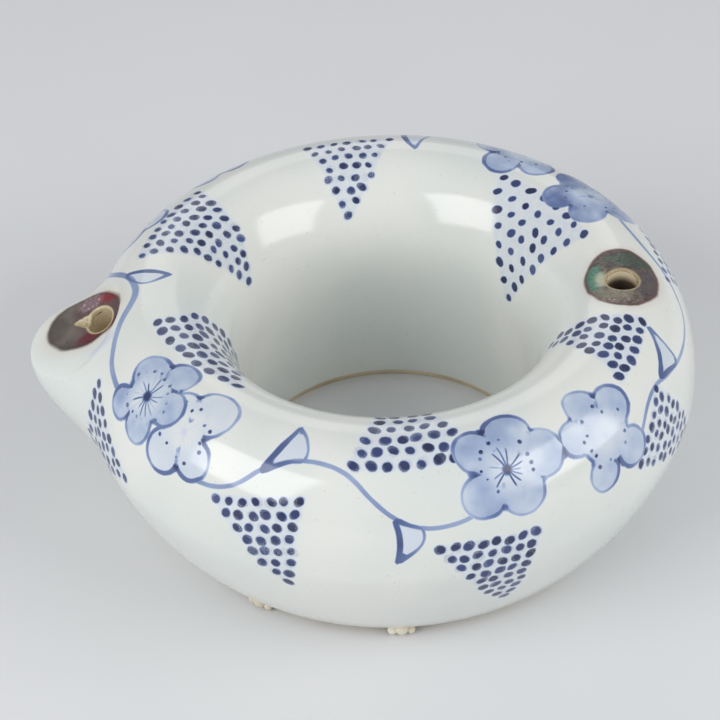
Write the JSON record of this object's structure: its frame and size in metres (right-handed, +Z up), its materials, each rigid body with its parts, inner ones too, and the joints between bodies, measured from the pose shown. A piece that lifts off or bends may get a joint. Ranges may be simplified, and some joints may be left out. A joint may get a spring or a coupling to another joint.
{
  "type": "calligraphy water dropper",
  "caption": "Ring-shaped hollow porcelain water dropper with a beak spout, an air vent on the crest and an open centre.",
  "frame": {"origin": "centre of the ring on the flat foot, on the surface that it stands on", "axes": "+Z up through the centre hole, the spout along -X, the air vent near +X"},
  "size_m": [0.1194, 0.11, 0.046],
  "materials": {
    "bare_clay": "fired porcelain body, unglazed, fine sandy cream",
    "fired_slip": "fired luting slip, smooth and matt",
    "glaze": "clear greenish-white gloss glaze over cobalt-blue brush painting",
    "copper_pigment": "mottled copper pigment fired brown, maroon and green under glossy glaze",
    "kiln_grit": "coarse kiln grit fused to the foot, matt"
  },
  "bodies": {
    "root": {"lower_half": "bare_clay", "upper_half": "bare_clay", "outer_seam_slip": "fired_slip", "inner_seam_slip": "fired_slip", "spout": "bare_clay", "spout_root_slip": "fired_slip", "glaze_coat": "glaze", "vent_copper_band": "copper_pigment", "spout_copper_patch": "copper_pigment", "kiln_grit": "kiln_grit"}
  },
  "joints": []
}
